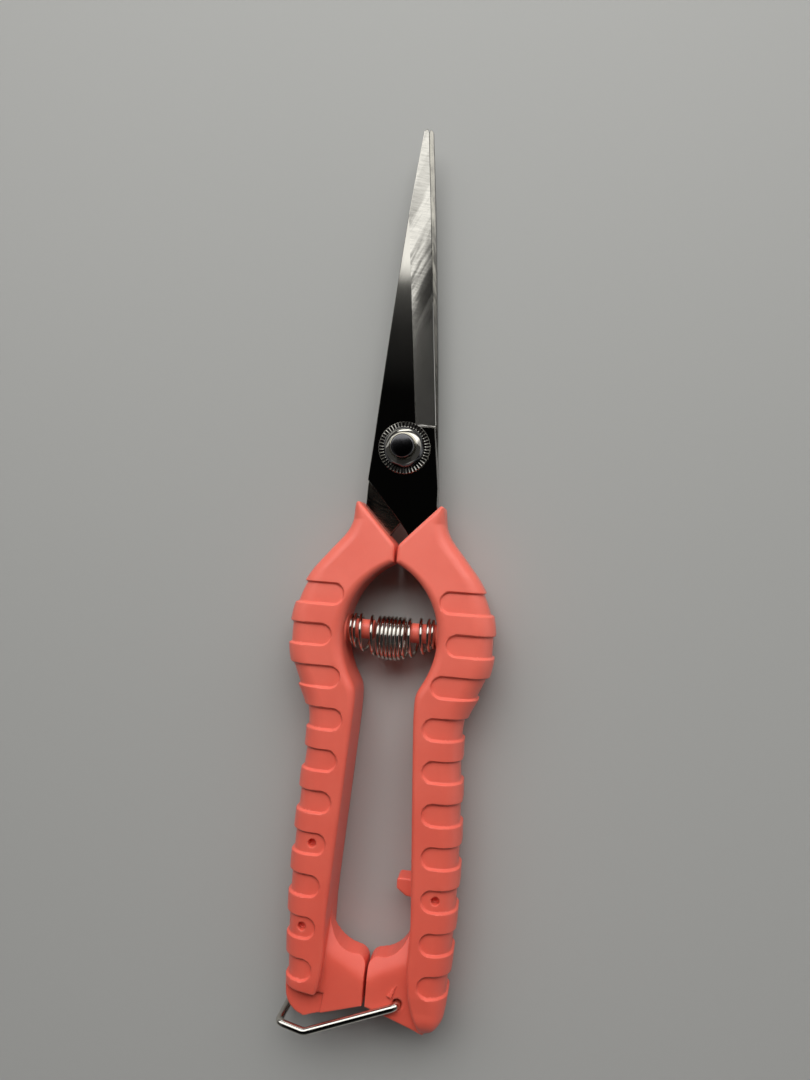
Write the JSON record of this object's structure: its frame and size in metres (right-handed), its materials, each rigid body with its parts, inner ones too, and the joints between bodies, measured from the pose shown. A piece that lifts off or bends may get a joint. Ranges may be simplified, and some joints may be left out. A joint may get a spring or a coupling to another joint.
{
  "type": "pruning shears",
  "caption": "Straight-blade garden snips: two ground blades on a pivot bolt, moulded grips held apart by a coil spring and locked shut by a swinging wire bail.",
  "frame": {"origin": "middle of the tool's length and width, on the plane the handles rest on", "axes": "+Y runs along the tool to the blade tips, +Z leaves the front face with the pivot nut, +X points to the right handle"},
  "size_m": [0.043, 0.1894, 0.0129],
  "materials": {
    "coral_plastic": "fine matt mould texture",
    "blade_steel": "polished flats, satin ground bevels",
    "polished_steel": "polished",
    "spring_wire": "bright drawn wire"
  },
  "bodies": {
    "right_half": {"right_handle": "coral_plastic", "front_blade": "blade_steel", "return_spring": "spring_wire"},
    "left_half": {"left_handle": "coral_plastic", "rear_blade": "blade_steel", "pivot_bolt": "polished_steel", "pivot_nut": "polished_steel", "serrated_washer": "polished_steel"},
    "bail": {"wire_bail": "spring_wire"}
  },
  "joints": [
    {"name": "pivot", "type": "hinge", "parent": "right_half", "child": "left_half", "pos_m": [0, 0.02635, 0.0062], "axis": [0, 0, -1], "range_deg": [0, 28], "deforming": ["return_spring"]},
    {"name": "bail_swing", "type": "hinge", "parent": "right_half", "child": "bail", "pos_m": [0.0069, -0.08635, 0.0062], "axis": [0, 0, 1], "range_deg": [-18, 72]}
  ]
}
